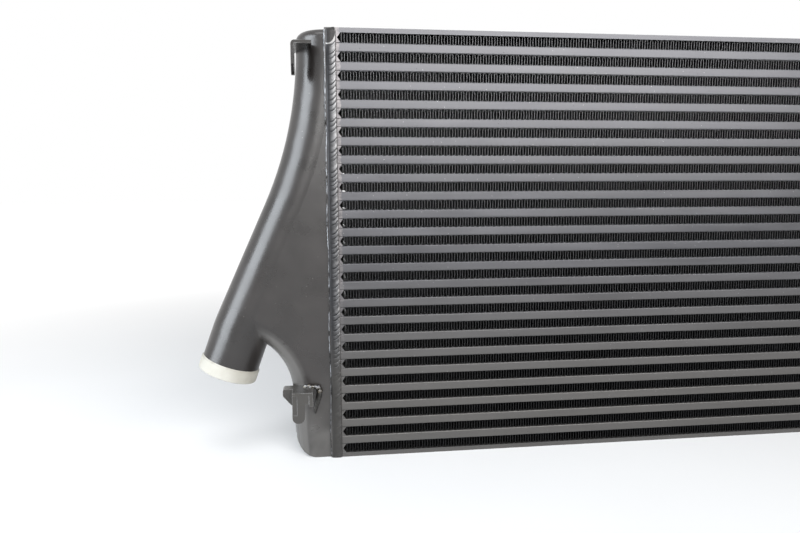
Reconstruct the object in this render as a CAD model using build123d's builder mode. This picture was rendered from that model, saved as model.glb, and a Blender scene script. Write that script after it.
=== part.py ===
from build123d import *
import math
import os

# Bar-and-plate charge-air cooler, millimetres.
# +X runs along the core, the front face looks along -Y and +Z is up.
# The origin is the centre of the underside of the core.

# ---- core: driving dimensions ----
core_length = 600.0        # between the faces that the tanks are welded to
core_depth = 60.0
air_row_count = 24
air_row_height = 9.2       # height of a cooling fin
charge_bar_height = 7.3    # height of a charge-air channel
charge_bar_width = 10.0    # depth of a long bar, front to back
parting_sheet = 0.5
cover_thickness = 4.5      # top and bottom plates
end_bar_width = 8.0        # short bars that close the air rows at both ends
end_bar_notch = 3.2        # depth of the notch in a short bar

# ---- folded sheet inside the core ----
fin_sheet = 0.2
fin_walls = 28             # walls in one air fin
fin_recess = 2.3           # fin edge behind the faces of the long bars
fin_end_gap = 0.4          # fin to short bar
turbulator_sheet = 0.3
turbulator_walls = 4
turbulator_side_gap = 0.4  # turbulator to long bar

# ---- end tanks: u is the distance out from the core, z the height ----
tank_wall = 3.0
collar_width = 7.0         # rim that is welded to the core
web_thickness = 55.5       # flat part between the rim and the pipe
pipe_diameter = 57.0
pipe_top_u = 6.0           # pipe centre at the top of the tank
pipe_knee_drop = 97.0      # upper knee of the pipe below the top
pipe_top_straight = 10.15  # straight pipe above the knee
pipe_bend_u = 94.5         # lower bend of the pipe
pipe_bend_z = 129.5
pipe_bend_radius = 200.0
pipe_end_u = 106.5         # end of the cast pipe
pipe_end_z = 96.5
leg_bottom_u = 42.0        # outer side of the leg under the arch
leg_top_u = 44.8
leg_top_z = 66.0
arch_radius = 65.0
arch_sweep = 70.0          # degrees, ends inside the pipe
arch_round = 21.0          # rounded edge of the arch and the leg
foot_radius = 21.0         # lower outer corner of the tank
shoulder_round = 9.0       # upper edge of the tank

# ---- machined hose ring on the pipe ----
ring_length = 13.5
ring_land_diameter = 59.4
ring_neck_diameter = 57.6
ring_neck_length = 1.6
ring_lip_round = 1.4

# ---- weld bead round the joint of tank and core ----
weld_width = 10.0
weld_height = 2.2          # crown in front of and behind the core
weld_top_height = 0.4      # dressed down over the top
weld_on_core = 4.0         # width of the bead that lies on the core
weld_round = 1.9

# ---- hook brackets on the tanks ----
bracket_sheet = 3.0
bracket_seat_gap = 0.3     # weld gap between bracket and tank
upper_shelf_drop = 18.7    # underside of the upper shelf below the top
upper_shelf_inner_u = 19.0
upper_shelf_outer_u = 38.0
upper_shelf_reach = 18.0   # in front of the face of the core
upper_fold_round = 3.5     # outside of the fold between shelf and arm
upper_arm_length = 27.0
upper_arm_depth = 20.0
lower_shelf_z = 71.5       # underside of the lower shelf
lower_shelf_inner_u = 24.2
lower_shelf_outer_u = 44.3
lower_shelf_reach = 20.0
lower_tongue_length = 27.5
lower_tongue_width = 12.3
lower_step_length = 8.7    # wide part of the tongue next to the side web
lower_web_thickness = 3.6
lower_web_length = 10.7
lower_slot_width = 0.6     # groove between the tongue and the side web
lower_rebate_width = 4.7
lower_rebate_depth = 1.0
lower_rebate_length = 19.1
lug_width = 9.5            # beyond the outer end of the shelf
lug_reach = 5.0            # in front of the face of the core
lug_depth = 12.0
lug_side = 7.0             # upright side, above the slanted one
lug_foot = 16.4            # lowest side, below the top of the shelf
lug_foot_width = 1.5
lug_round = 2.5
bracket_end_flat = 1.0     # flat left between two rounded corners

# ---- tolerance for choosing edges by length or place ----
near = 0.01

# ---- values that follow from the dimensions above ----
row_pitch = air_row_height + charge_bar_height + 2 * parting_sheet
core_height = (
    2 * cover_thickness
    + air_row_count * air_row_height
    + (air_row_count - 1) * (charge_bar_height + 2 * parting_sheet)
)
half_length = core_length / 2
half_depth = core_depth / 2
air_row_z = [cover_thickness + i * row_pitch for i in range(air_row_count)]
channel_z = [z + air_row_height + parting_sheet for z in air_row_z[:-1]]
knee_turn = math.atan2(
    pipe_bend_u - pipe_top_u, core_height - pipe_knee_drop - pipe_bend_z
)
pipe_knee_radius = (pipe_knee_drop - pipe_top_straight) / math.tan(knee_turn / 2)

# Left tank in its own plane: x is u, y is z, the normal points to the back.
tank_plane = Plane(
    origin=(-half_length, 0, 0), x_dir=(-1, 0, 0), z_dir=(0, 1, 0)
)

os.makedirs("parts", exist_ok=True)


def save(part, label):
    """Label a finished piece and write it under the same name."""
    part.label = label
    export_step(part, f"parts/{label}.step")


def fold_points(start, base, run, height, sheet, walls):
    """Outline of a sheet folded into walls between two flat surfaces."""
    step = run / walls
    rise = sheet * math.hypot(1, height / step)
    lower = [
        (start + i * step, base + (i % 2) * (height - rise))
        for i in range(walls + 1)
    ]
    upper = [(x, y + rise) for x, y in reversed(lower)]
    return lower + upper + lower[:1]


# ---- air rows: folded fins with a short bar at each end ----
fin_run = core_length - 2 * (end_bar_width + fin_end_gap)
for number, z in enumerate(air_row_z, start=1):
    with BuildPart() as air_fin:
        with BuildSketch(Plane.XZ):
            with BuildLine():
                Polyline(fold_points(-fin_run / 2, z, fin_run,
                                     air_row_height, fin_sheet, fin_walls))
            make_face()
        extrude(amount=half_depth - fin_recess, both=True)
    save(air_fin.part, f"air_fin_{number:02d}")

with BuildPart() as left_end_bars:
    with BuildSketch(Plane.XZ):
        for z in air_row_z:
            with Locations((-half_length, z)):
                Rectangle(end_bar_width, air_row_height,
                          align=(Align.MIN, Align.MIN))
            with BuildLine():
                Polyline(
                    (end_bar_width - half_length, z + air_row_height),
                    (end_bar_width - half_length - end_bar_notch,
                     z + air_row_height / 2),
                    (end_bar_width - half_length, z),
                    close=True,
                )
            make_face(mode=Mode.SUBTRACT)
    extrude(amount=half_depth, both=True)
save(left_end_bars.part, "left_end_bars")

with BuildPart() as right_end_bars:
    add(left_end_bars.part)
    mirror(about=Plane.YZ, mode=Mode.REPLACE)
save(right_end_bars.part, "right_end_bars")

# ---- charge-air channels: long bars in front and behind ----
with BuildPart() as front_charge_bars:
    for z in channel_z:
        with BuildSketch(Plane.YZ):
            with Locations((-half_depth, z)):
                Rectangle(charge_bar_width, charge_bar_height,
                          align=(Align.MIN, Align.MIN))
    extrude(amount=half_length, both=True)
save(front_charge_bars.part, "front_charge_bars")

with BuildPart() as rear_charge_bars:
    add(front_charge_bars.part)
    mirror(about=Plane.XZ, mode=Mode.REPLACE)
save(rear_charge_bars.part, "rear_charge_bars")

channel_width = core_depth - 2 * (charge_bar_width + turbulator_side_gap)
with BuildPart() as charge_turbulators:
    for z in channel_z:
        with BuildSketch(Plane.YZ):
            with BuildLine():
                Polyline(fold_points(-channel_width / 2, z, channel_width,
                                     charge_bar_height, turbulator_sheet,
                                     turbulator_walls))
            make_face()
    extrude(amount=half_length, both=True)
save(charge_turbulators.part, "charge_turbulators")

with BuildPart() as parting_plates:
    for z in channel_z:
        for sheet_z in (z - parting_sheet, z + charge_bar_height):
            with Locations((0, 0, sheet_z)):
                Box(core_length, core_depth, parting_sheet,
                    align=(Align.CENTER, Align.CENTER, Align.MIN))
save(parting_plates.part, "parting_plates")

# ---- cover plates ----
for label, z in (("bottom_cover_plate", 0),
                 ("top_cover_plate", core_height - cover_thickness)):
    with BuildPart() as cover_plate:
        with Locations((0, 0, z)):
            Box(core_length, core_depth, cover_thickness,
                align=(Align.CENTER, Align.CENTER, Align.MIN))
    save(cover_plate.part, label)


# ---- end tanks ----
pipe_points = [
    (pipe_top_u, core_height - pipe_knee_drop),
    (pipe_bend_u, pipe_bend_z),
    (pipe_end_u, pipe_end_z),
]
pipe_end = tank_plane.from_local_coords(Vector(pipe_end_u, pipe_end_z))
pipe_bend = tank_plane.from_local_coords(Vector(pipe_bend_u, pipe_bend_z))


def tank_body(inset):
    """Tank outside its rim, with every surface moved in by inset."""
    top = core_height - inset
    flat = web_thickness / 2 - inset
    with BuildPart() as body:
        # flat web, with the arch between the leg and the pipe
        with BuildSketch(tank_plane):
            with BuildLine():
                centre_line = FilletPolyline(
                    (pipe_top_u, top), *pipe_points[:2],
                    radius=pipe_knee_radius,
                )
                leg = Line((leg_bottom_u - inset, inset),
                           (leg_top_u - inset, leg_top_z))
                arch = JernArc(leg @ 1, leg % 1, arch_radius + inset,
                               -arch_sweep)
                Line(arch @ 1, centre_line @ 1)
                Polyline(leg @ 0, (0, inset), (0, top), centre_line @ 0)
            make_face()
        extrude(amount=flat, both=True)
        arch_edges = [
            edge for edge in body.edges()
            if abs(abs(edge.center().Y) - flat) < near
            and min(abs(edge.length - leg.length),
                    abs(edge.length - arch.length)) < near
            and edge.center().X < -half_length - leg_bottom_u / 2
        ]
        fillet(arch_edges, radius=arch_round - inset)
        # lower outer corner
        foot_r = foot_radius - inset
        foot_u = leg_bottom_u - inset
        with BuildSketch(tank_plane):
            with Locations((foot_u, inset)):
                Rectangle(foot_r, foot_r, align=(Align.MAX, Align.MIN))
            with Locations((foot_u - foot_r, inset + foot_r)):
                Circle(foot_r, mode=Mode.SUBTRACT)
        extrude(amount=core_depth, both=True, mode=Mode.SUBTRACT)
        # round pipe along the outer edge
        with BuildLine(tank_plane):
            pipe_path = FilletPolyline(
                (pipe_top_u, top), *pipe_points,
                radius=(pipe_knee_radius, pipe_bend_radius),
            )
        with BuildSketch(Plane(pipe_path @ 0, z_dir=pipe_path % 0)):
            Circle(pipe_diameter / 2 - inset)
        sweep(path=pipe_path)
        # open side, then the rounded shoulder
        split(bisect_by=Plane.YZ.offset(-half_length), keep=Keep.BOTTOM)
        top_face = body.faces().sort_by(Axis.Z)[-1]
        shoulder = top_face.edges().filter_by(GeomType.LINE, reverse=True)
        fillet(shoulder, radius=shoulder_round - inset)
    return body.part


tank_outside = tank_body(0)
with BuildPart() as left_tank:
    add(tank_outside)
    # rim that the weld bead joins to the core
    with BuildSketch(Plane.YZ.offset(-half_length)):
        Rectangle(core_depth, core_height, align=(Align.CENTER, Align.MIN))
    extrude(amount=-collar_width)
    add(tank_body(tank_wall), mode=Mode.SUBTRACT)
save(left_tank.part, "left_tank")

# ---- hose ring: neck, cylindrical land and rounded lips ----
ring_bore = pipe_diameter / 2 - tank_wall
ring_neck = ring_neck_diameter / 2
ring_land = ring_land_diameter / 2
mouth_axis = Axis(pipe_end, pipe_end - pipe_bend)
ring_plane = Plane(pipe_end, x_dir=(0, 1, 0),
                   z_dir=Vector(0, 1, 0).cross(pipe_end - pipe_bend))
with BuildPart() as left_hose_ring:
    with BuildSketch(ring_plane) as ring_section:
        with BuildLine():
            Polyline((ring_bore, 0), (ring_neck, 0),
                     (ring_neck, ring_neck_length),
                     (ring_land, ring_neck_length), (ring_land, ring_length),
                     (ring_bore, ring_length), close=True)
        make_face()
        lip_corners = ring_section.vertices().group_by(Axis.X)[-1]
        fillet(lip_corners.sort_by(Axis.Y)[-1], radius=ring_lip_round)
    revolve(axis=mouth_axis)
save(left_hose_ring.part, "left_hose_ring")

# ---- weld bead over the joint, up the front, over the top, down the back ----
weld_start = -half_length + weld_on_core
with BuildPart() as left_weld_bead:
    with BuildSketch(Plane.YZ.offset(weld_start)):
        Rectangle(core_depth + 2 * weld_height,
                  core_height + weld_top_height,
                  align=(Align.CENTER, Align.MIN))
    extrude(amount=-weld_width)
    crown = left_weld_bead.edges().filter_by(
        lambda edge: edge.center().Z > near
        and edge.length > weld_width + near
    )
    fillet(crown, radius=weld_round)
    with BuildSketch(Plane.YZ.offset(weld_start)):
        Rectangle(core_depth, core_height, align=(Align.CENTER, Align.MIN))
    extrude(amount=-weld_width, mode=Mode.SUBTRACT)
save(left_weld_bead.part, "left_weld_bead")

# ---- hook brackets, each cut to sit on the outside of the tank ----
tank_clearance = tank_body(-bracket_seat_gap)
front_y = -half_depth

shelf_z = core_height - upper_shelf_drop
shelf_x = -half_length - upper_shelf_outer_u
shelf_y = front_y - upper_shelf_reach
shelf_width = upper_shelf_outer_u - upper_shelf_inner_u
with BuildPart() as left_upper_bracket:
    with Locations((shelf_x, shelf_y, shelf_z)):
        # shelf, folded down into the arm that hangs beside the tank
        Box(shelf_width, upper_shelf_reach + half_depth, bracket_sheet,
            align=Align.MIN)
        Box(bracket_sheet, upper_arm_depth, upper_arm_length,
            align=(Align.MIN, Align.MIN, Align.MAX))
    along_y = left_upper_bracket.edges().filter_by(Axis.Y)
    fillet(along_y.group_by(Axis.X)[0].sort_by(Axis.Z)[-1],
           radius=upper_fold_round)
    arm_foot = left_upper_bracket.edges().filter_by(Axis.X).group_by(Axis.Z)[0]
    fillet(arm_foot, radius=(upper_arm_depth - bracket_end_flat) / 2)
    add(tank_clearance, mode=Mode.SUBTRACT)
save(left_upper_bracket.part, "left_upper_bracket")

tongue_x = -half_length - lower_shelf_outer_u
tongue_y = front_y - lower_shelf_reach
lower_shelf_width = lower_shelf_outer_u - lower_shelf_inner_u
step_width = lower_shelf_width - lower_web_thickness - lower_slot_width
shelf_top_z = lower_shelf_z + bracket_sheet
lug_plane = Plane(origin=(tongue_x, front_y - lug_reach, shelf_top_z),
                  x_dir=(-1, 0, 0), z_dir=(0, 1, 0))
with BuildPart() as left_lower_bracket:
    with Locations((tongue_x, tongue_y, lower_shelf_z)):
        # shelf that ends at the leg of the tank
        Box(lower_shelf_width, lower_shelf_reach + half_depth, bracket_sheet,
            align=Align.MIN)
        # stepped tongue that hangs from its front edge
        Box(step_width, bracket_sheet, lower_step_length,
            align=(Align.MIN, Align.MIN, Align.MAX))
        Box(lower_tongue_width, bracket_sheet, lower_tongue_length,
            align=(Align.MIN, Align.MIN, Align.MAX))
    tongue_foot = (
        left_lower_bracket.edges().filter_by(Axis.Y).group_by(Axis.Z)[0]
    )
    fillet(tongue_foot, radius=(lower_tongue_width - bracket_end_flat) / 2)
    # rebate down the outer side of the tongue
    with Locations((tongue_x, tongue_y, lower_shelf_z)):
        Box(lower_rebate_width, lower_rebate_depth, lower_rebate_length,
            align=(Align.MIN, Align.MIN, Align.MAX), mode=Mode.SUBTRACT)
    # side web that stands on the flat of the tank
    with Locations((-half_length - lower_shelf_inner_u, tongue_y,
                    lower_shelf_z)):
        Box(lower_web_thickness, lower_shelf_reach + half_depth,
            lower_web_length, align=(Align.MAX, Align.MIN, Align.MAX))
    # gusset-shaped lug at the outer end of the shelf
    with BuildSketch(lug_plane):
        Polygon((0, 0), (lug_width, 0), (lug_width, -lug_side),
                (lug_foot_width, -lug_foot), (0, -lug_foot), align=None)
    extrude(amount=lug_depth)
    lug_corners = (
        left_lower_bracket.edges().filter_by(Axis.Y).group_by(Axis.X)[0]
    )
    fillet(lug_corners, radius=lug_round)
    add(tank_clearance, mode=Mode.SUBTRACT)
save(left_lower_bracket.part, "left_lower_bracket")

# ---- right-hand end, the mirror image of the left one ----
for label, left in (
    ("right_tank", left_tank),
    ("right_hose_ring", left_hose_ring),
    ("right_weld_bead", left_weld_bead),
    ("right_upper_bracket", left_upper_bracket),
    ("right_lower_bracket", left_lower_bracket),
):
    with BuildPart() as right:
        add(left.part)
        mirror(about=Plane.YZ, mode=Mode.REPLACE)
    save(right.part, label)
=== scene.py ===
import math

import bpy
from mathutils import Matrix, Vector, noise


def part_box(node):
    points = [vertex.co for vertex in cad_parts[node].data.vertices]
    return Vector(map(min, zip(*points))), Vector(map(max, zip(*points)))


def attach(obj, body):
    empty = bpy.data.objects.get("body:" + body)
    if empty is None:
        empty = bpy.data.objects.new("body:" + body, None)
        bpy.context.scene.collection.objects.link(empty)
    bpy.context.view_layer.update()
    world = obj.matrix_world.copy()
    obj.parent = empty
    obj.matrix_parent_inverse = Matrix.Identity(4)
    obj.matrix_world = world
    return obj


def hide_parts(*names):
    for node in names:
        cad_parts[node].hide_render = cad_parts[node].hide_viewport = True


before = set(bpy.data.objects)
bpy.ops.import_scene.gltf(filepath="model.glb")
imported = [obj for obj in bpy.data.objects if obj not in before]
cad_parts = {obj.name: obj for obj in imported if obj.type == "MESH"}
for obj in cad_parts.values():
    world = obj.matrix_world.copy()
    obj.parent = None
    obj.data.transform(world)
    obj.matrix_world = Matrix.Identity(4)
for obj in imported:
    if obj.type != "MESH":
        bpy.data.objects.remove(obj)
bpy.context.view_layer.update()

# Looks of a bar-and-plate charge-air cooler: folded fins, welds, castings, paint and light.
# Everything is in metres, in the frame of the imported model.

MM = 0.001

# ---- where things are, read from the frame ----
fin_low, fin_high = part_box("air_fin_01")
cover_low, cover_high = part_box("top_cover_plate")
core_front, core_back, core_top = cover_low.y, cover_high.y, cover_high.z
fin_names = sorted(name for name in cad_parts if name.startswith("air_fin_"))
row_starts = [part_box(name)[0].z for name in fin_names]
row_pitch = row_starts[1] - row_starts[0]
fin_height = fin_high.z - fin_low.z

# ---- sizes of what is added ----
WALLS_PER_ROW = 212
FIN_SHEET = 0.25 * MM
FRONT_STRIP = 3.2 * MM        # depth of the lanced strip at either face of the core
SECOND_STRIP = 4.0 * MM
NOTCH_DEPTH = 3.2 * MM        # notch of the short end bars
NOTCH_BLANK = 12 * MM         # how far back the turned end of a fin lies in the notch
BAR_ROUND = 0.8 * MM
BAR_CUTS = 59
PLATE_INSET = 1.0 * MM        # plates end inside the rounded edges of the bars
PLATE_THICKNESS = 0.5 * MM
BARE_END_X = 0.2935           # bars are bare metal from here to the weld
BEAD_BRIGHT_X = 0.2978        # the bead is barest on the core side of this
BEAD_DARK_X = 0.3032          # and fully coated on the tank side of this
CORNER_PATCH = Vector((0.304, 0, 0.416))        # middle of the dressed corner of the bead
CORNER_REACH = Vector((0.0073, 1, 0.010))
LEG_SIDE = 0.34195            # outer side of the tank's leg at the foot, a hair inside it
FOOT_ROUND = 0.021            # height of the rounded foot
ARCH_SHEEN_TOP = 0.145         # the painted reflection band along the arch is full below this
ARCH_SHEEN_SIDE = 0.362        # and on the core side of this
FLAP_MARGIN = 0.5 * MM        # room above and below the turned end of a fin
FLAP_PAST_NOTCH = 1.0 * MM
BRACKET_EDGE = 0.6 * MM

# ---- camera and light ----
LENS = 29.591
CAMERA_PLACE = (-0.3152, -0.6717, 0.2721)
CAMERA_DEGREES = (6.999, 6.936, -0.268)         # yaw, pitch, roll
AMBIENT = 0.30                # how strongly the white world lights the part itself
FLOOR_FADE = (0.55, 1.3)      # the floor turns into plain white between these distances


# ================= working by hand: selection and edit mode =================
def deselect():
    bpy.ops.object.select_all(action="DESELECT")


def pick(piece):
    """Make one object the only selected and active one."""
    deselect()
    piece.select_set(True)
    bpy.context.view_layer.objects.active = piece
    return piece


def clear_choice(piece, kind):
    """Leave nothing of a mesh selected, ready to choose its vertices or its edges."""
    pick(piece)
    bpy.ops.object.mode_set(mode="EDIT")
    bpy.ops.mesh.select_mode(type=kind)
    bpy.ops.mesh.select_all(action="DESELECT")
    bpy.ops.object.mode_set(mode="OBJECT")


def edit_all(piece):
    """Enter edit mode with everything selected."""
    pick(piece)
    bpy.ops.object.mode_set(mode="EDIT")
    bpy.ops.mesh.select_all(action="SELECT")


def edit_selected(piece, wanted):
    """Enter edit mode with just the vertices selected for which wanted(co) is true."""
    clear_choice(piece, "VERT")
    for vertex in piece.data.vertices:
        vertex.select = wanted(vertex.co)
    bpy.ops.object.mode_set(mode="EDIT")


def edit_edges(piece, wanted):
    """Enter edit mode with just the edges selected for which wanted(end, end) is true."""
    clear_choice(piece, "EDGE")
    for edge in piece.data.edges:
        edge.select = wanted(*(piece.data.vertices[i].co for i in edge.vertices))
    bpy.ops.object.mode_set(mode="EDIT")


def leave_edit():
    bpy.ops.object.mode_set(mode="OBJECT")


def apply_all(piece):
    """Apply an object's place and every modifier, so that the mesh holds the shape."""
    pick(piece)
    bpy.ops.object.transform_apply(location=True, rotation=True, scale=True)
    for modifier in list(piece.modifiers):
        bpy.ops.object.modifier_apply(modifier=modifier.name)


def merge_close(piece):
    """Join the vertices that share a place."""
    edit_all(piece)
    bpy.ops.mesh.remove_doubles(threshold=0.01 * MM)
    leave_edit()


def face_outward(piece):
    edit_all(piece)
    bpy.ops.mesh.normals_make_consistent(inside=False)
    leave_edit()


def own_copy(piece, name):
    """A copy with its own mesh."""
    twin = piece.copy()
    twin.data = piece.data.copy()
    twin.name = name
    bpy.context.scene.collection.objects.link(twin)
    return twin


def join(pieces, name):
    deselect()
    for piece in pieces:
        piece.select_set(True)
    bpy.context.view_layer.objects.active = pieces[0]
    bpy.ops.object.join()
    pieces[0].name = name
    return pieces[0]


def repeat(piece, count, offset, merge=False):
    """Array a piece by a fixed step."""
    row = piece.modifiers.new("repeat", "ARRAY")
    row.count = count
    row.use_relative_offset = False
    row.use_constant_offset = True
    row.constant_offset_displace = offset
    row.use_merge_vertices = merge
    row.merge_threshold = 0.02 * MM


def displace(piece, texture, strength, mid_level=0.5, direction="NORMAL", group=""):
    """Push a surface about by a cloud texture."""
    push = piece.modifiers.new("displace", "DISPLACE")
    push.texture = texture
    push.texture_coords = "LOCAL"
    push.strength = strength
    push.mid_level = mid_level
    push.direction = direction
    push.vertex_group = group


def block_between(low, high):
    """A box with its corners at low and high."""
    low, high = Vector(low), Vector(high)
    bpy.ops.mesh.primitive_cube_add(size=1, location=(low + high) / 2)
    box = bpy.context.active_object
    box.scale = high - low
    apply_all(box)
    return box


def keep_inside(piece, low, high):
    """Hold every vertex within a box."""
    for vertex in piece.data.vertices:
        vertex.co = [min(max(value, a), b) for value, a, b in zip(vertex.co, low, high)]


def clouds(name, size):
    texture = bpy.data.textures.new(name, "CLOUDS")
    texture.noise_scale = size
    return texture


def smooth(piece, degrees):
    pick(piece)
    bpy.ops.object.shade_smooth_by_angle(angle=math.radians(degrees))


def weigh_normals(piece):
    """Keep flat faces flat next to rounded ones."""
    modifier = piece.modifiers.new("weighted_normals", "WEIGHTED_NORMAL")
    modifier.keep_sharp = True
    pick(piece)
    bpy.ops.object.modifier_apply(modifier=modifier.name)


def hand_over(piece, name, slot, material, *nodes):
    """Name a finished piece, paint it, and tie it to the frame."""
    piece.name = name
    piece.data.name = name
    piece.data.materials.clear()
    piece.data.materials.append(material)
    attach(piece, "root")
    if nodes:
        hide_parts(*nodes)
    return piece


# ================= shader building =================
def add_node(tree, kind, **settings):
    made = tree.nodes.new(kind)
    for key, value in settings.items():
        setattr(made, key, value)
    return made


def feed(tree, socket, value):
    """Set an input to a constant, or link it to another node's output."""
    if isinstance(value, bpy.types.NodeSocket):
        tree.links.new(value, socket)
    else:
        socket.default_value = value


def math_node(tree, operation, first, second=0.0, third=None):
    made = add_node(tree, "ShaderNodeMath", operation=operation)
    feed(tree, made.inputs[0], first)
    feed(tree, made.inputs[1], second)
    if third is not None:
        feed(tree, made.inputs[2], third)
    return made.outputs[0]


def ramp_between(tree, value, low, high, out_low=0.0, out_high=1.0):
    """Clamped straight ramp of a value from one range to another."""
    made = add_node(tree, "ShaderNodeMapRange", clamp=True)
    for index, number in enumerate((value, low, high, out_low, out_high)):
        feed(tree, made.inputs[index], number)
    return made.outputs[0]


def mix_colour(tree, factor, first, second):
    made = add_node(tree, "ShaderNodeMix", data_type="RGBA")
    feed(tree, made.inputs[0], factor)
    feed(tree, made.inputs[6], first)
    feed(tree, made.inputs[7], second)
    return made.outputs[2]


def object_place(tree):
    return add_node(tree, "ShaderNodeTexCoord").outputs["Object"]


def place_along(tree, axis):
    """Object coordinate along one axis."""
    parts = add_node(tree, "ShaderNodeSeparateXYZ")
    feed(tree, parts.inputs[0], object_place(tree))
    return parts.outputs[axis]


def from_middle(tree, axis="X"):
    return math_node(tree, "ABSOLUTE", place_along(tree, axis))


def facing_front(tree, low=0.5, high=0.8):
    """1 on faces that look to the front or the rear, 0 on the others."""
    parts = add_node(tree, "ShaderNodeSeparateXYZ")
    feed(tree, parts.inputs[0], add_node(tree, "ShaderNodeNewGeometry").outputs["Normal"])
    return ramp_between(tree, math_node(tree, "ABSOLUTE", parts.outputs["Y"]), low, high)


def new_effect(name, inputs, outputs):
    """Empty shader group with float inputs and outputs, ready to be filled."""
    group = bpy.data.node_groups.new(name, "ShaderNodeTree")
    for label, value in inputs.items():
        socket = group.interface.new_socket(label, in_out="INPUT", socket_type="NodeSocketFloat")
        socket.default_value = value
    for label in outputs:
        group.interface.new_socket(label, in_out="OUTPUT", socket_type="NodeSocketFloat")
    entry = group.nodes.new("NodeGroupInput")
    leaving = group.nodes.new("NodeGroupOutput")
    return group, entry.outputs, leaving.inputs


def cloud_effect():
    """Soft patches of a chosen size, stretched by a chosen amount along X."""
    group, given, put = new_effect("cloud_patches", {"Size": 0.05, "Stretch": 1.0, "Detail": 3.0,
                                                     "Low": 0.35, "High": 0.65}, ["Mask"])
    mapping = add_node(group, "ShaderNodeMapping")
    stretch = add_node(group, "ShaderNodeCombineXYZ")
    feed(group, stretch.inputs[0], math_node(group, "DIVIDE", 1.0, given["Stretch"]))
    stretch.inputs[1].default_value = 1.0
    stretch.inputs[2].default_value = 1.0
    feed(group, mapping.inputs["Vector"], object_place(group))
    feed(group, mapping.inputs["Scale"], stretch.outputs[0])
    pattern = add_node(group, "ShaderNodeTexNoise")
    feed(group, pattern.inputs["Vector"], mapping.outputs[0])
    feed(group, pattern.inputs["Scale"], math_node(group, "DIVIDE", 1.0, given["Size"]))
    feed(group, pattern.inputs["Detail"], given["Detail"])
    feed(group, put["Mask"], ramp_between(group, pattern.outputs[0], given["Low"], given["High"]))
    return group


def speck_effect():
    """Sparse small round specks."""
    group, given, put = new_effect("specks", {"Spacing": 0.005, "Radius": 0.0003, "Share": 0.5},
                                   ["Mask"])
    pattern = add_node(group, "ShaderNodeTexVoronoi")
    feed(group, pattern.inputs["Vector"], object_place(group))
    feed(group, pattern.inputs["Scale"], math_node(group, "DIVIDE", 1.0, given["Spacing"]))
    distance = math_node(group, "MULTIPLY", pattern.outputs["Distance"], given["Spacing"])
    parts = add_node(group, "ShaderNodeSeparateColor")
    feed(group, parts.inputs[0], pattern.outputs["Color"])
    radius = math_node(group, "MULTIPLY", given["Radius"],
                       math_node(group, "ADD", 0.5, parts.outputs[1]))
    dot = math_node(group, "LESS_THAN", distance, radius)
    chosen = math_node(group, "LESS_THAN", parts.outputs[0], given["Share"])
    feed(group, put["Mask"], math_node(group, "MULTIPLY", dot, chosen))
    return group


def wear_effect():
    """Broken line of wear along edges."""
    group, given, put = new_effect("edge_wear", {"Width": 0.0006, "Breakup": 0.004, "Amount": 1.0},
                                   ["Mask"])
    rounded = add_node(group, "ShaderNodeBevel", samples=4)
    feed(group, rounded.inputs["Radius"], given["Width"])
    geometry = add_node(group, "ShaderNodeNewGeometry")
    compare = add_node(group, "ShaderNodeVectorMath", operation="DOT_PRODUCT")
    feed(group, compare.inputs[0], rounded.outputs[0])
    feed(group, compare.inputs[1], geometry.outputs["Normal"])
    edge = ramp_between(group, compare.outputs["Value"], 0.995, 0.9)
    pattern = add_node(group, "ShaderNodeTexNoise")
    feed(group, pattern.inputs["Vector"], object_place(group))
    feed(group, pattern.inputs["Scale"], math_node(group, "DIVIDE", 1.0, given["Breakup"]))
    broken = ramp_between(group, pattern.outputs[0], 0.35, 0.6)
    amount = math_node(group, "MULTIPLY", math_node(group, "MULTIPLY", edge, broken),
                       given["Amount"])
    feed(group, put["Mask"], amount)
    return group


EFFECTS = {"cloud": cloud_effect(), "specks": speck_effect(), "wear": wear_effect()}


def effect(tree, name, **values):
    """Place a shared effect in a material with its own values and return its mask."""
    made = add_node(tree, "ShaderNodeGroup", node_tree=EFFECTS[name])
    for label, value in values.items():
        feed(tree, made.inputs[label], value)
    return made.outputs["Mask"]


def new_material(name, metallic, **constants):
    material = bpy.data.materials.new(name)
    material.use_nodes = True
    tree = material.node_tree
    shader = tree.nodes["Principled BSDF"]
    shader.inputs["Metallic"].default_value = metallic
    for label, value in constants.items():
        shader.inputs[label.replace("_", " ")].default_value = value
    return material, tree, shader


def bump(tree, shader, height, distance, strength=1.0, onto=None):
    made = add_node(tree, "ShaderNodeBump")
    made.inputs["Strength"].default_value = strength
    made.inputs["Distance"].default_value = distance
    feed(tree, made.inputs["Height"], height)
    if onto is not None:
        feed(tree, made.inputs["Normal"], onto)
    feed(tree, shader.inputs["Normal"], made.outputs[0])
    return made.outputs[0]


def vary_roughness(tree, shader, mask, low, high):
    feed(tree, shader.inputs["Roughness"], ramp_between(tree, mask, 0.0, 1.0, low, high))


def fine_grain(tree, shader, size, detail, distance, strength):
    """A fine even grain over the whole finish."""
    grain = effect(tree, "cloud", Size=size, Detail=detail, Low=0.2, High=0.8)
    bump(tree, shader, grain, distance, strength)


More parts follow.
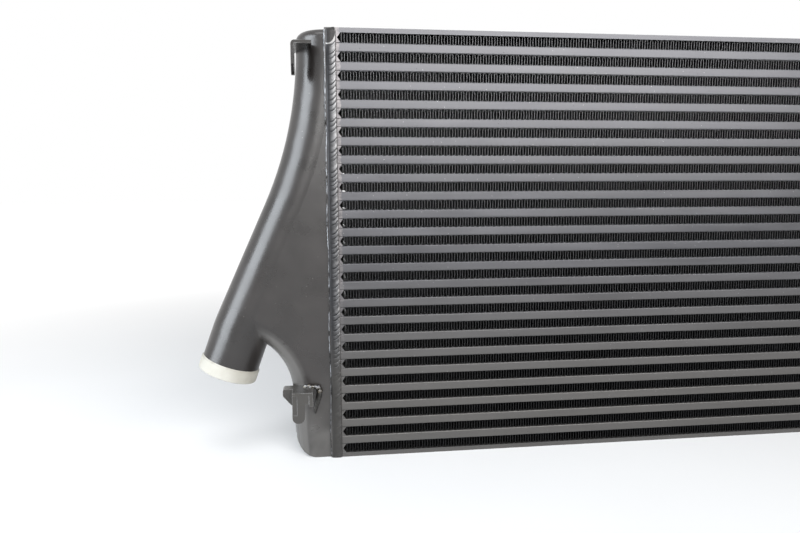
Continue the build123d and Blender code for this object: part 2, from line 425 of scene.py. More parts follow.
# ================= finishes =================
def tank_finish():
    """Satin black powder coat on a casting, with fine texture, dust and patches, and a paler painted
    reflection of the floor near the foot and along the rounded band of the arch.
    """
    material, tree, shader = new_material("satin_black_casting", 0.0, Specular_IOR_Level=0.7)
    patches = effect(tree, "cloud", Size=0.06, Detail=4.0)
    dust = effect(tree, "specks", Spacing=0.006, Radius=0.00028, Share=0.45)
    wear = effect(tree, "wear", Width=0.0007, Breakup=0.006, Amount=0.5)
    # painted reflection of the white floor: paler towards the foot, broken up by clouds
    painted_sheen = math_node(tree, "MULTIPLY", ramp_between(tree, place_along(tree, "Z"), 0.09, 0.0),
                     effect(tree, "cloud", Size=0.02, Detail=4.0, Low=0.1, High=0.7))
    colour = mix_colour(tree, patches, (0.010, 0.0085, 0.008, 1), (0.019, 0.016, 0.015, 1))
    # the rounded band along the arch, below and beside these limits, gets the same paler painted
    # reflection
    rounded = ramp_between(tree, facing_front(tree, low=0.88, high=0.985), 1.0, 0.0)
    by_arch = math_node(tree, "MULTIPLY", ramp_between(tree, place_along(tree, "Z"),
                                                      ARCH_SHEEN_TOP + 30 * MM, ARCH_SHEEN_TOP),
                        ramp_between(tree, from_middle(tree), ARCH_SHEEN_SIDE + 18 * MM,
                                     ARCH_SHEEN_SIDE))
    by_arch = math_node(tree, "MULTIPLY", rounded, by_arch)
    painted_sheen = math_node(tree, "MAXIMUM", painted_sheen, math_node(tree, "MULTIPLY", by_arch, 0.9))
    colour = mix_colour(tree, painted_sheen, colour, (0.095, 0.091, 0.086, 1))
    colour = mix_colour(tree, dust, colour, (0.22, 0.21, 0.19, 1))
    colour = mix_colour(tree, wear, colour, (0.14, 0.14, 0.14, 1))
    feed(tree, shader.inputs["Base Color"], colour)
    streaks = effect(tree, "cloud", Size=0.03, Detail=5.0)
    vary_roughness(tree, shader, streaks, 0.25, 0.33)
    peel = effect(tree, "cloud", Size=0.0011, Detail=2.0, Low=0.2, High=0.8)
    waves = effect(tree, "cloud", Size=0.014, Detail=2.0, Low=0.2, High=0.8)
    soft = bump(tree, shader, waves, 0.00014, 0.55)
    bump(tree, shader, peel, 0.00004, 0.35, soft)
    return material


def bar_finish():
    """Thin dark coat that still shines as metal, bare where the bars meet the weld."""
    material, tree, shader = new_material("dark_bright_bar", 0.85)
    streaks = effect(tree, "cloud", Size=0.012, Stretch=9.0, Detail=5.0, Low=0.3, High=0.7)
    patches = effect(tree, "cloud", Size=0.05, Stretch=2.0, Detail=3.0)
    dents = effect(tree, "specks", Spacing=0.0045, Radius=0.00035, Share=0.3)
    grit = effect(tree, "specks", Spacing=0.0037, Radius=0.0002, Share=0.25)
    wear = effect(tree, "wear", Width=0.0004, Breakup=0.003, Amount=0.6)
    ragged = effect(tree, "cloud", Size=0.0035, Detail=3.0, Low=0.3, High=0.7)
    ragged_x = math_node(tree, "MULTIPLY_ADD", ragged, 1.6 * MM, from_middle(tree))
    bare = math_node(tree, "MULTIPLY", facing_front(tree),
                     ramp_between(tree, ragged_x, BARE_END_X, BARE_END_X + 0.5 * MM))
    bare = math_node(tree, "MULTIPLY", bare, ramp_between(tree, place_along(tree, "Z"), 0.09, 0.22))
    colour = mix_colour(tree, streaks, (0.080, 0.080, 0.086, 1), (0.115, 0.115, 0.123, 1))
    colour = mix_colour(tree, patches, colour, (0.100, 0.100, 0.106, 1))
    # bars turn a warmer, slightly paler grey towards the bottom
    warmer_below = ramp_between(tree, place_along(tree, "Z"), 0.20, 0.06, 0.0, 0.75)
    colour = mix_colour(tree, warmer_below, colour, (0.135, 0.129, 0.121, 1))
    colour = mix_colour(tree, dents, colour, (0.03, 0.03, 0.03, 1))
    colour = mix_colour(tree, grit, colour, (0.35, 0.35, 0.36, 1))
    colour = mix_colour(tree, wear, colour, (0.22, 0.24, 0.26, 1))
    bare_metal = mix_colour(tree, ragged, (0.11, 0.107, 0.112, 1), (0.21, 0.198, 0.200, 1))
    colour = mix_colour(tree, bare, colour, bare_metal)
    feed(tree, shader.inputs["Base Color"], colour)
    vary_roughness(tree, shader, streaks, 0.30, 0.40)
    grain = effect(tree, "cloud", Size=0.0012, Stretch=6.0, Detail=3.0, Low=0.2, High=0.8)
    soft = bump(tree, shader, grain, 0.00004, 0.4)
    bump(tree, shader, math_node(tree, "SUBTRACT", 1.0, dents), 0.0002, 0.6, soft)
    return material


def fin_finish():
    """Dull black fins whose cut edges are bare at the two faces of the core."""
    material, tree, shader = new_material("black_fin", 0.0, Specular_IOR_Level=0.05)
    outside = ramp_between(tree, from_middle(tree, "Y"), fin_high.y - FRONT_STRIP + 1.0 * MM,
                           fin_high.y - 1.0 * MM)
    patches = effect(tree, "cloud", Size=0.02, Detail=3.0)
    grain = effect(tree, "cloud", Size=0.0015, Detail=2.0, Low=0.2, High=0.8)
    walls = mix_colour(tree, patches, (0.003, 0.003, 0.003, 1), (0.008, 0.008, 0.009, 1))
    bare = mix_colour(tree, grain, (0.15, 0.15, 0.155, 1), (0.25, 0.25, 0.26, 1))
    bare = mix_colour(tree, ramp_between(tree, place_along(tree, "Z"), 0.34, 0.08, 0.0, 0.75), bare,
                      (0.02, 0.02, 0.02, 1))
    edges = mix_colour(tree, outside, (0.010, 0.010, 0.010, 1), bare)
    cut = facing_front(tree)
    feed(tree, shader.inputs["Base Color"], mix_colour(tree, cut, walls, edges))
    feed(tree, shader.inputs["Metallic"], math_node(tree, "MULTIPLY", cut, outside))
    vary_roughness(tree, shader, grain, 0.40, 0.55)
    bump(tree, shader, grain, 0.00003, 0.3)
    return material


def weld_finish():
    """Weld bead: barest along the core, coated towards the tank and the foot."""
    material, tree, shader = new_material("weld_metal", 0.8)
    across, up = from_middle(tree), place_along(tree, "Z")
    patches = effect(tree, "cloud", Size=0.004, Detail=3.0)
    painted = ramp_between(tree, across, BEAD_BRIGHT_X, BEAD_DARK_X)
    corner = add_node(tree, "ShaderNodeCombineXYZ")
    for socket, value, axis in ((0, across, 0), (2, up, 2)):
        away = math_node(tree, "SUBTRACT", value, CORNER_PATCH[axis])
        feed(tree, corner.inputs[socket], math_node(tree, "DIVIDE", away, CORNER_REACH[axis]))
    reach = add_node(tree, "ShaderNodeVectorMath", operation="LENGTH")
    feed(tree, reach.inputs[0], corner.outputs[0])
    dressed = ramp_between(tree, reach.outputs["Value"], 1.0, 0.92)
    outline = math_node(tree, "ABSOLUTE", math_node(tree, "SUBTRACT", reach.outputs["Value"], 1.04))
    colour = mix_colour(tree, patches, (0.085, 0.085, 0.087, 1), (0.19, 0.19, 0.195, 1))
    colour = mix_colour(tree, ramp_between(tree, up, 0.24, 0.36, 0.0, 0.6), colour,
                        (0.34, 0.34, 0.345, 1))
    colour = mix_colour(tree, painted, colour, (0.030, 0.030, 0.032, 1))
    core_side = ramp_between(tree, across, BEAD_BRIGHT_X, BEAD_BRIGHT_X - 0.9 * MM, 0.0, 0.8)
    colour = mix_colour(tree, core_side, colour, (0.25, 0.24, 0.24, 1))
    colour = mix_colour(tree, ramp_between(tree, up, 0.135, 0.085, 0.0, 0.85), colour,
                        (0.055, 0.053, 0.050, 1))
    colour = mix_colour(tree, dressed, colour, (0.035, 0.034, 0.034, 1))
    colour = mix_colour(tree, ramp_between(tree, outline, 0.09, 0.03), colour, (0.28, 0.275, 0.27, 1))
    feed(tree, shader.inputs["Base Color"], colour)
    vary_roughness(tree, shader, patches, 0.34, 0.48)
    fine_grain(tree, shader, 0.0009, 3.0, 0.00005, 0.4)
    return material


def rim_finish():
    """Edge of the tank's rim, with a painted highlight broken into bright dashes."""
    material, tree, shader = new_material("highlit_rim", 0.9)
    # painted highlight: bright bluish dashes between dark gaps
    dashes = effect(tree, "cloud", Size=0.009, Detail=4.0, Low=0.42, High=0.55)
    colour = mix_colour(tree, dashes, (0.02, 0.02, 0.021, 1), (0.30, 0.315, 0.34, 1))
    feed(tree, shader.inputs["Base Color"], colour)
    vary_roughness(tree, shader, dashes, 0.5, 0.35)
    fine_grain(tree, shader, 0.0009, 3.0, 0.00005, 0.4)
    return material


def spatter_finish():
    """Bright weld lumps, straw coloured in places."""
    material, tree, shader = new_material("bright_weld", 1.0)
    patches = effect(tree, "cloud", Size=0.003, Detail=3.0)
    tint = effect(tree, "cloud", Size=0.008, Detail=2.0)
    colour = mix_colour(tree, patches, (0.03, 0.03, 0.032, 1), (0.24, 0.245, 0.26, 1))
    colour = mix_colour(tree, math_node(tree, "MULTIPLY", tint, 0.6), colour, (0.22, 0.18, 0.11, 1))
    feed(tree, shader.inputs["Base Color"], colour)
    vary_roughness(tree, shader, patches, 0.18, 0.32)
    fine_grain(tree, shader, 0.0008, 3.0, 0.00008, 0.5)
    return material


def ring_finish():
    """Bare machined end of the outlet, dull and slightly cream."""
    material, tree, shader = new_material("bare_machined_ring", 0.0)
    patches = effect(tree, "cloud", Size=0.02, Detail=4.0)
    marks = effect(tree, "cloud", Size=0.0012, Stretch=20.0, Detail=2.0, Low=0.2, High=0.8)
    colour = mix_colour(tree, patches, (0.41, 0.395, 0.345, 1), (0.48, 0.47, 0.425, 1))
    wear = effect(tree, "wear", Width=0.0008, Breakup=0.005, Amount=0.5)
    colour = mix_colour(tree, wear, colour, (0.66, 0.65, 0.61, 1))
    feed(tree, shader.inputs["Base Color"], colour)
    vary_roughness(tree, shader, marks, 0.48, 0.6)
    bump(tree, shader, marks, 0.00005, 0.3)
    return material


def bracket_finish():
    """Gloss black paint on folded sheet; the light line along its edges is partly wear and partly a
    painted highlight, and the low part has a paler painted reflection.
    """
    material, tree, shader = new_material("black_bracket_paint", 0.0, Specular_IOR_Level=0.25)
    # painted highlight: a broken light line along the edges, standing in for edges catching light as
    # well as wear
    wear = effect(tree, "wear", Width=0.0007, Breakup=0.012, Amount=0.8)
    patches = effect(tree, "cloud", Size=0.01, Detail=4.0)
    colour = mix_colour(tree, patches, (0.006, 0.005, 0.005, 1), (0.016, 0.014, 0.012, 1))
    # painted reflection: paler towards the bottom of the bracket
    painted_sheen = ramp_between(tree, place_along(tree, "Z"), 0.20, 0.08, 0.0, 0.8)
    colour = mix_colour(tree, painted_sheen, colour, (0.070, 0.067, 0.063, 1))
    colour = mix_colour(tree, wear, colour, (0.38, 0.38, 0.38, 1))
    feed(tree, shader.inputs["Base Color"], colour)
    vary_roughness(tree, shader, patches, 0.16, 0.28)
    fine_grain(tree, shader, 0.001, 2.0, 0.00003, 0.3)
    return material


def inner_finish():
    """Plain aluminium sheet inside the charge channels."""
    material, tree, shader = new_material("inner_sheet", 0.9, Roughness=0.4)
    patches = effect(tree, "cloud", Size=0.02, Detail=4.0)
    colour = mix_colour(tree, patches, (0.55, 0.55, 0.54, 1), (0.7, 0.7, 0.69, 1))
    feed(tree, shader.inputs["Base Color"], colour)
    fine_grain(tree, shader, 0.001, 2.0, 0.00004, 0.4)
    return material


tank_paint = tank_finish()
bar_coat = bar_finish()
fin_coat = fin_finish()
weld_metal = weld_finish()
highlit_rim = rim_finish()
bright_weld = spatter_finish()
ring_metal = ring_finish()
bracket_paint = bracket_finish()
inner_sheet = inner_finish()

wall_bow = clouds("wall_bow", 6 * MM)
bar_waves = clouds("bar_waves", 14 * MM)
weld_lumpiness = clouds("weld_lumpiness", 1.8 * MM)


# ================= folded fins =================
def fin_fold(front, back, pitch, halves, crest_steps, slant):
    """One fold of a fin: wall up, rounded crest, wall down, rounded trough."""
    crest = pitch / 2
    turn = []
    crest_height = 0.0
    for step in range(crest_steps):
        before, after = (math.pi * (step + k) / crest_steps for k in (0, 1))
        turn.append((crest * (math.cos(before) - math.cos(after)), 0,
                     crest * (math.sin(after) - math.sin(before))))
        crest_height = max(crest_height, crest * math.sin(after))
    z_low = fin_low.z + FIN_SHEET / 2 + crest_height
    z_high = fin_high.z - FIN_SHEET / 2 - crest_height
    bpy.ops.mesh.primitive_plane_add(size=1, location=(0, 0, 0))
    fold = bpy.context.active_object
    edit_selected(fold, lambda co: True)
    bpy.ops.transform.resize(value=(0.0, back - front, 1.0))
    bpy.ops.mesh.remove_doubles(threshold=0.5 * (back - front))
    bpy.ops.transform.translate(value=(fin_low.x + pitch / 4, (front + back) / 2, z_low))
    bpy.ops.mesh.select_all(action="SELECT")
    wall = [(0, 0, (z_high - z_low) / halves)] * halves
    route = wall + turn + [(x, y, -z) for x, y, z in wall + turn]
    for step in route:
        bpy.ops.mesh.extrude_region_move(TRANSFORM_OT_translate={"value": step})
    leave_edit()
    if slant:
        edit_selected(fold, lambda co: co.y > (front + back) / 2)
        bpy.ops.transform.translate(value=(-slant, 0, 0))
        leave_edit()
    return fold


def fin_strip(front, back, offset, folds, pitch, halves=1, crest_steps=3, slant=0.0):
    """A full-length strip of folds between two depths."""
    strip = fin_fold(front, back, pitch, halves, crest_steps, slant)
    repeat(strip, folds, (2 * pitch, 0, 0), merge=True)
    apply_all(strip)
    edit_selected(strip, lambda co: True)
    bpy.ops.transform.translate(value=(offset, 0, 0))
    leave_edit()
    return strip


def notch_flaps():
    """Both ends of the folded sheet, turned across into the notches of the end bars."""
    front = fin_low.y + NOTCH_BLANK
    flaps = []
    reach = NOTCH_DEPTH + FLAP_PAST_NOTCH
    for start, end in ((fin_low.x - reach, fin_low.x), (fin_high.x, fin_high.x + reach)):
        flaps.append(block_between((start, front, fin_low.z + FLAP_MARGIN),
                                   (end, front + FIN_SHEET, fin_high.z - FLAP_MARGIN)))
    return flaps


def build_fins():
    """Strips of folds, each lanced half a fold aside of the one in front of it."""
    pitch = (fin_high.x - fin_low.x) / WALLS_PER_ROW
    folds = WALLS_PER_ROW // 2
    y0, y1 = fin_low.y, fin_low.y + FRONT_STRIP
    y2, y3 = y1 + SECOND_STRIP, fin_high.y - FRONT_STRIP
    strips = [
        fin_strip(y0, y1, 0.0, folds, pitch, halves=2),
        fin_strip(y1, y2, pitch / 2, folds - 1, pitch),
        fin_strip(y2, y3, pitch, folds - 1, pitch, crest_steps=2, slant=pitch),
        fin_strip(y3, fin_high.y, pitch / 2, folds - 1, pitch),
    ]
    first = join(strips, "fin_master")
    middle = (fin_low.z + fin_high.z) / 2
    bowed = first.vertex_groups.new(name="wall_middle")
    bowed.add([v.index for v in first.data.vertices
               if abs(v.co.z - middle) < 0.5 * MM and v.co.y < y1 + 0.3 * MM], 1.0, "REPLACE")
    for name, start in zip(fin_names, row_starts):
        row = own_copy(first, name + "_folds")
        row.location.z = start - fin_low.z
        pick(row)
        bpy.ops.object.transform_apply(location=True)
        displace(row, wall_bow, 1.6 * MM, direction="X", group="wall_middle")
        sheet = row.modifiers.new("sheet", "SOLIDIFY")
        sheet.thickness = FIN_SHEET
        sheet.offset = 0.0
        apply_all(row)
        row.vertex_groups.clear()
        flaps = notch_flaps()
        for flap in flaps:
            flap.data.transform(Matrix.Translation((0, 0, start - fin_low.z)))
        join([row] + flaps, row.name)
        hand_over(row, name + "_folds", "black_fin", fin_coat, name)
    bpy.data.objects.remove(first)


# ================= castings, ring and brackets =================
def merged_copy(node):
    """A copy of a CAD node with its loose triangles joined."""
    piece = own_copy(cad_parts[node], node + "_copy")
    piece.parent = None
    for key in list(piece.keys()):
        del piece[key]
    piece.data.materials.clear()
    merge_close(piece)
    return piece


def trim_foot(piece, sign):
    """Take off the thin wedge, under 1 mm, that the CAD casting has outside its rounded foot."""
    near, far = sign * LEG_SIDE, sign * (LEG_SIDE + 10 * MM)
    cutter = block_between((min(near, far), -1, -1), (max(near, far), 1, FOOT_ROUND))
    cut = piece.modifiers.new("trim", "BOOLEAN")
    cut.object = cutter
    cut.operation = "DIFFERENCE"
    apply_all(piece)
    bpy.data.objects.remove(cutter)


def build_tanks():
    for side, sign in (("left", -1), ("right", 1)):
        piece = merged_copy(side + "_tank")
        trim_foot(piece, sign)
        smooth(piece, 20)
        weigh_normals(piece)
        hand_over(piece, side + "_tank_casting", "black_tank", tank_paint, side + "_tank")


def build_rings():
    for side in ("left", "right"):
        piece = merged_copy(side + "_hose_ring")
        smooth(piece, 25)
        weigh_normals(piece)
        hand_over(piece, side + "_hose_ring_turned", "bare_ring", ring_metal,
                  side + "_hose_ring")


def build_brackets():
    """Hook brackets of folded sheet, with the edges of the sheet rounded over."""
    for side in ("left", "right"):
        for level in ("upper", "lower"):
            node = f"{side}_{level}_bracket"
            piece = merged_copy(node)
            edit_all(piece)
            bpy.ops.mesh.dissolve_limited(angle_limit=math.radians(1))
            leave_edit()
            edge = piece.modifiers.new("edge", "BEVEL")
            edge.width = BRACKET_EDGE
            edge.segments = 2
            edge.angle_limit = math.radians(35)
            edge.limit_method = "ANGLE"
            apply_all(piece)
            smooth(piece, 35)
            weigh_normals(piece)
            hand_over(piece, node + "_folded", "black_bracket", bracket_paint, node)


# ================= weld beads =================
RIPPLE = 4.7 * MM
# height and place of the rows of faces in one ripple, from its groove to the next
RIPPLE_ROWS = ((0.0, 0.0), (0.10, 0.72), (0.25, 0.93), (0.50, 1.0), (0.75, 0.98), (0.93, 0.80))
GROOVES = (1.0, 0.85, 1.0, 0.7, 0.15, 0.9, 1.0, 0.5, 0.05, 0.8)     # some hardly show
BEAD_FACES = 14
CORNER = 3.0 * MM
RIM_STEP = 1.2 * MM
RIPPLE_RELIEF = 1.1 * MM
FOOT_FADE = (75 * MM, 130 * MM)       # ripples come up between these heights
TOP_FADE = (18 * MM, 11 * MM)         # and die away between these depths below the top
BODY_THICKNESS = 0.6 * MM


def path_point(along, height):
    """(y, z) on the path up the front, over the top and down the back, height above it."""
    straight = core_top - CORNER
    arc = CORNER * math.pi / 2
    top = (core_back - core_front) - 2 * CORNER
    if along < straight:
        return core_front - height, along
    along -= straight
    if along < arc:
        a = along / CORNER
        r = CORNER + height
        return core_front + CORNER - r * math.cos(a), core_top - CORNER + r * math.sin(a)
    along -= arc
    if along < top:
        return core_front + CORNER + along, core_top + height
    along -= top
    if along < arc:
        a = along / CORNER
        r = CORNER + height
        return core_back - CORNER + r * math.sin(a), core_top - CORNER + r * math.cos(a)
    along -= arc
    return core_back + height, core_top - CORNER - along


def path_length():
    return 2 * (core_top - CORNER) + CORNER * math.pi + (core_back - core_front) - 2 * CORNER


def ease(value, low, high):
    t = min(1.0, max(0.0, (value - low) / (high - low)))
    return t * t * (3 - 2 * t)


def weld_height(along, crown, across, groove, rise, proud, foot_distance):
    """How far one point of the bead stands out of the core's face."""
    wander = noise.noise(Vector((along / (9 * MM), 3.0, 0.5)))
    rippled = ease(across, -0.6, 0.0) * (1 - ease(across, 0.86, 1.0))
    fade = 0.22 + 0.78 * ease(foot_distance, *FOOT_FADE)
    fade *= 1 - ease(foot_distance, *(core_top - depth for depth in TOP_FADE))
    body = crown * proud * (0.74 + 0.12 * wander) * (0.8 + 0.2 * ease(across, -0.7, 0.2))
    return body + fade * rippled * groove * (rise - 0.55) * RIPPLE_RELIEF


def flat_bead(tiles, pitch, half_width):
    """A flat strip along X with the rows of faces that every ripple needs."""
    bpy.ops.mesh.primitive_grid_add(x_subdivisions=len(RIPPLE_ROWS), y_subdivisions=BEAD_FACES,
                                    size=1)
    bead = bpy.context.active_object
    edit_selected(bead, lambda co: True)
    bpy.ops.transform.resize(value=(pitch, 2 * half_width, 1))
    bpy.ops.transform.translate(value=(pitch / 2, 0, 0))
    leave_edit()
    repeat(bead, tiles, (pitch, 0, 0), merge=True)
    apply_all(bead)
    return bead


def weld_bead(side):
    """Rows of overlapping ripples laid along the joint of tank and core."""
    low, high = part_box(side + "_weld_bead")
    half_width = (high.x - low.x) / 2
    centre = (low.x + high.x) / 2
    sign = 1 if side == "left" else -1     # the ripples face the core
    front_proud, top_proud = core_front - low.y, high.z - core_top
    length = path_length()
    tiles = round(length / RIPPLE)
    pitch = length / tiles
    bead = flat_bead(tiles, pitch, half_width)
    for vertex in bead.data.vertices:
        order = round(vertex.co.x / pitch * len(RIPPLE_ROWS))
        ripple, step = divmod(order, len(RIPPLE_ROWS))
        phase, rise = RIPPLE_ROWS[step]
        s, t = (ripple + phase) * pitch, vertex.co.y / half_width          # t from -1 to 1
        across = t * sign                                                  # 1 is the core side
        foot_distance = min(s, length - s)
        groove = GROOVES[(ripple + round(phase)) * 7 // 3 % len(GROOVES)]
        straight = core_top - CORNER
        proud = front_proud + (top_proud - front_proud) * ease(foot_distance, straight,
                                                               straight + 1.5 * CORNER)
        crown = math.sqrt(max(0.0, 1 - abs(t) ** 3.2))
        height = weld_height(s, crown, across, groove, rise, proud, foot_distance)
        curve = (0.5 * across + 0.55 * across * across) * pitch    # crescent, rising to the core
        drift = 0.45 * pitch * noise.noise(Vector((s / (9 * MM), 1.5, 2.5 * sign)))
        loose = ease(foot_distance, 0, 8 * MM) * ease(across, -0.9, -0.3)
        up_front = 1 if s < length / 2 else -1
        s += (curve * up_front + drift) * loose * (1 - ease(across, 0.9, 1.0))
        wobble = 0.35 * MM * noise.noise(Vector((s / (6 * MM), 7.5, 1.5 * sign))) * abs(t) ** 3
        y, z = path_point(min(max(s, 0.0), length), max(0.0, min(height, proud)))
        vertex.co = (centre + t * half_width + wobble, y, z)
    thick = bead.modifiers.new("body", "SOLIDIFY")
    thick.thickness = BODY_THICKNESS
    thick.offset = 1.0
    apply_all(bead)
    keep_inside(bead, low, high)
    smooth(bead, 60)
    hand_over(bead, side + "_weld_ripples", "weld", weld_metal, side + "_weld_bead")


def rim_edge(side):
    """Thin uneven edge along the rim of the tank beside the weld, with a painted highlight in places.
    """
    low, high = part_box(side + "_weld_bead")
    sign = 1 if side == "left" else -1
    x_edge = (low.x - 0.9 * MM) if side == "left" else (high.x + 0.9 * MM)
    length = path_length()
    steps = round(length / RIM_STEP)
    bpy.ops.mesh.primitive_cylinder_add(vertices=6, radius=1, depth=length / steps,
                                        end_fill_type="NOTHING", rotation=(0, math.pi / 2, 0))
    rod = bpy.context.active_object
    bpy.ops.object.transform_apply(location=True, rotation=True, scale=True)
    repeat(rod, steps, (length / steps, 0, 0), merge=True)
    apply_all(rod)
    edit_edges(rod, lambda a, b: abs(a.x - b.x) < 0.1 * MM and
               (min(a.x, b.x) < 0 or max(a.x, b.x) > length - 0.9 * length / steps))
    bpy.ops.mesh.edge_face_add()
    leave_edit()
    for vertex in rod.data.vertices:
        s = min(max(vertex.co.x + length / steps / 2, 0.0), length)
        thin = 0.55 + 0.5 * noise.noise(Vector((s / (2.2 * MM), 4.4 * sign, 0.3)))
        radius = 0.42 * MM * max(0.15, thin + 0.2)
        aside = 1.0 * MM * noise.noise(Vector((s / (40 * MM), 9.1, 3.3 * sign)))
        aside += 0.4 * MM * noise.noise(Vector((s / (2.4 * MM), 2.1, 5.3 * sign)))
        y, z = path_point(s, vertex.co.z * radius * 0.6)
        vertex.co = (x_edge + aside + vertex.co.y * radius, y, z)
    keep_inside(rod, (-1, low.y, 0), (1, high.y, high.z))
    face_outward(rod)
    smooth(rod, 60)
    hand_over(rod, side + "_rim_edge", "weld", highlit_rim)


# ================= weld lumps on the brackets =================
SHELF_WELD = ((-331, -29, 74.5), (-328, -30, 75), (-325, -31, 74.5), (-322, -31.5, 75),
              (-319.5, -31.5, 74), (-318, -31, 70.5))
WEB_WELD = ((-318.2, -30.5, 67), (-319, -30, 63), (-320, -29.6, 59), (-321.2, -29.2, 55),
            (-322.4, -29, 51))


def weld_lumps(side):
    """Lumpy fillet welds of the lower bracket, bare along the shelf and painted along the web."""
    bare = [(place, (3.2, 2.4, 2.4)) for place in SHELF_WELD]
    painted = [(place, (2.9 - 0.3 * n, 2.1, 4.8)) for n, place in enumerate(WEB_WELD)]
    lay_lumps(side, bare, 2.2 * MM, side + "_shelf_weld", bright_weld)
    lay_lumps(side, painted, 0.5 * MM, side + "_web_weld", weld_metal)


def lay_lumps(side, spots, lumpiness, name, material):
    """Squashed balls pushed about by clouds, joined to one weld."""
    sign = 1 if side == "left" else -1
    lumps = []
    for place, radii in spots:
        centre = (sign * place[0] * MM, place[1] * MM, place[2] * MM)
        bpy.ops.mesh.primitive_ico_sphere_add(subdivisions=3, radius=1, location=centre)
        lump = bpy.context.active_object
        lump.scale = [radius * MM for radius in radii]
        apply_all(lump)
        displace(lump, weld_lumpiness, lumpiness)
        apply_all(lump)
        lumps.append(lump)
    piece = join(lumps, name)
    smooth(piece, 80)
    hand_over(piece, name, "weld", material)


# ================= long bars, with the edges of the parting plates =================
def build_bars():
    """Each long bar is brazed between two plates, and all three edges read as one band."""
    for name in ("front", "rear"):
        low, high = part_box(name + "_charge_bars")
        outer = low.y if name == "front" else high.y
        bands = block_between((low.x, low.y, row_starts[0] + fin_height),
                              (high.x, high.y, row_starts[1]))
        edit_edges(bands, lambda a, b: abs(a.x - b.x) > 0.5 and
                   abs(a.y - outer) < 0.01 * MM and abs(b.y - outer) < 0.01 * MM)
        bpy.ops.mesh.bevel(offset=BAR_ROUND, segments=3, affect="EDGES")
        leave_edit()
        edit_edges(bands, lambda a, b: abs(a.x - b.x) > 0.5)
        bpy.ops.mesh.subdivide(number_cuts=BAR_CUTS)
        leave_edit()
        repeat(bands, len(row_starts) - 1, (0, 0, row_pitch))
        apply_all(bands)
        displace(bands, bar_waves, 0.3 * MM, mid_level=1.0)
        apply_all(bands)
        keep_inside(bands, low, high + Vector((0, 0, 1)))
        smooth(bands, 35)
        weigh_normals(bands)
        hand_over(bands, name + "_bar_bands", "black_bar", bar_coat, name + "_charge_bars")


def build_plates():
    """The two sheets that part each charge channel from the air rows beside it."""
    low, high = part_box("parting_plates")
    below, above = row_starts[0] + fin_height, row_starts[1]
    sheets = [block_between((low.x, low.y + PLATE_INSET, z), (high.x, high.y - PLATE_INSET,
                                                             z + PLATE_THICKNESS))
              for z in (below, above - PLATE_THICKNESS)]
    piece = join(sheets, "parting_sheets")
    repeat(piece, len(row_starts) - 1, (0, 0, row_pitch))
    apply_all(piece)
    hand_over(piece, "parting_sheets", "black_bar", bar_coat, "parting_plates")


# ================= carried-over parts =================
def paint_nodes():
    """Finishes of the CAD nodes that are shown as they are."""
    for name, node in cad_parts.items():
        if "turbulator" in name:
            material = inner_sheet
        elif "end_bars" in name or "cover_plate" in name:
            material = bar_coat
        else:
            continue
        node.data.materials.clear()
        node.data.materials.append(material)


# ================= camera, lights, floor =================
def make_camera():
    """Camera in front of the left end, turned a little to the right and down."""
    data = bpy.data.cameras.new("camera")
    data.sensor_width = 36.0
    data.lens = LENS
    data.clip_start = 0.01
    camera = bpy.data.objects.new("camera", data)
    bpy.context.scene.collection.objects.link(camera)
    yaw, pitch, roll = (math.radians(a) for a in CAMERA_DEGREES)
    turn = (Matrix.Rotation(-yaw, 4, "Z") @ Matrix.Rotation(math.pi / 2 - pitch, 4, "X")
            @ Matrix.Rotation(roll, 4, "Z"))
    camera.matrix_world = Matrix.Translation(CAMERA_PLACE) @ turn
    bpy.context.scene.camera = camera


def softbox(name, place, target, width, height, watts, colour):
    """Soft rectangular lamp aimed at a target."""
    data = bpy.data.lights.new(name, "AREA")
    data.shape = "RECTANGLE"
    data.size, data.size_y = width, height
    data.energy = watts
    data.color = colour
    lamp = bpy.data.objects.new(name, data)
    lamp.location = place
    lamp.rotation_euler = (Vector(target) - Vector(place)).to_track_quat("-Z", "Y").to_euler()
    bpy.context.scene.collection.objects.link(lamp)


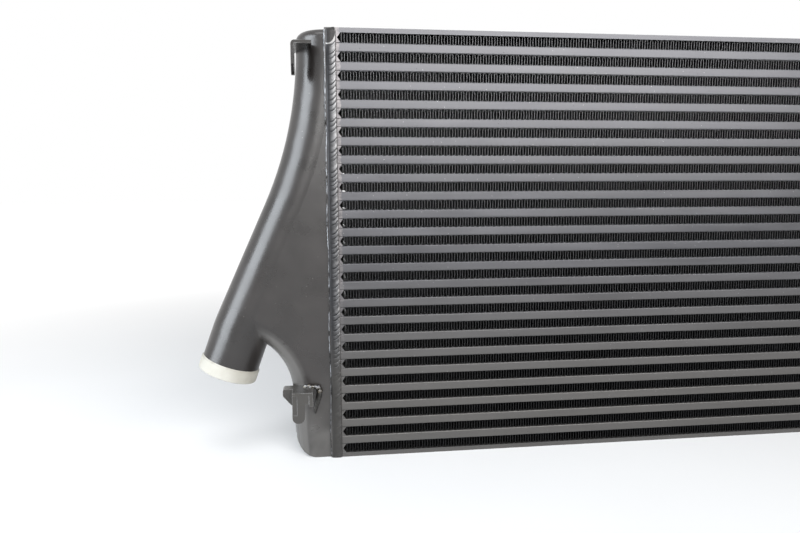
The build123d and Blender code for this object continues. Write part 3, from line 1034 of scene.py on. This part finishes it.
def make_world():
    """White to the eye and in reflections, and dimmer as a light."""
    world = bpy.data.worlds.new("studio")
    bpy.context.scene.world = world
    world.use_nodes = True
    tree = world.node_tree
    back = tree.nodes["Background"]
    path = add_node(tree, "ShaderNodeLightPath")
    seen = math_node(tree, "MAXIMUM", path.outputs["Is Camera Ray"],
                     math_node(tree, "MAXIMUM", path.outputs["Is Glossy Ray"],
                               path.outputs["Is Transmission Ray"]))
    feed(tree, back.inputs["Strength"], ramp_between(tree, seen, 0.0, 1.0, AMBIENT, 1.0))
    back.inputs["Color"].default_value = (1, 1, 1, 1)


def make_floor():
    """Pale floor that fades into the white background far from the part."""
    bpy.ops.mesh.primitive_circle_add(vertices=96, radius=12, fill_type="NGON", location=(0, 0, 0))
    floor = bpy.context.active_object
    floor.name = "studio_floor"
    material, tree, shader = new_material("pale_floor", 0.0, Roughness=0.9)
    shader.inputs["Specular IOR Level"].default_value = 0.1
    place = object_place(tree)
    distance = add_node(tree, "ShaderNodeVectorMath", operation="LENGTH")
    feed(tree, distance.inputs[0], place)
    far = ramp_between(tree, distance.outputs["Value"], *FLOOR_FADE)
    patches = effect(tree, "cloud", Size=0.4, Detail=2.0)
    colour = mix_colour(tree, patches, (0.87, 0.87, 0.87, 1), (0.90, 0.90, 0.90, 1))
    near_colour = mix_colour(tree, far, colour, (0.0, 0.0, 0.0, 1))
    feed(tree, shader.inputs["Base Color"], near_colour)
    shader.inputs["Emission Strength"].default_value = 1.0
    feed(tree, shader.inputs["Emission Color"],
         mix_colour(tree, far, (0.0, 0.0, 0.0, 1), (1.0, 1.0, 1.0, 1)))
    floor.data.materials.append(material)


build_fins()
build_bars()
build_plates()
build_tanks()
build_rings()
build_brackets()
for side in ("left", "right"):
    weld_bead(side)
    rim_edge(side)
    weld_lumps(side)
paint_nodes()

make_camera()
make_world()
make_floor()
softbox("window_left", (-2.06, -0.88, 0.80), (-0.3, 0, 0.22), 1.45, 1.9, 62, (0.88, 0.94, 1.0))
softbox("front_above", (0.6, -2.2, 1.15), (0.0, 0, 0.25), 2.6, 1.5, 60, (1.0, 0.99, 0.98))
softbox("ceiling", (-0.5, -0.7, 2.0), (-0.2, 0, 0.3), 1.2, 0.7, 8, (0.97, 0.98, 1.0))


scene = bpy.context.scene
scene.view_settings.view_transform = "Standard"
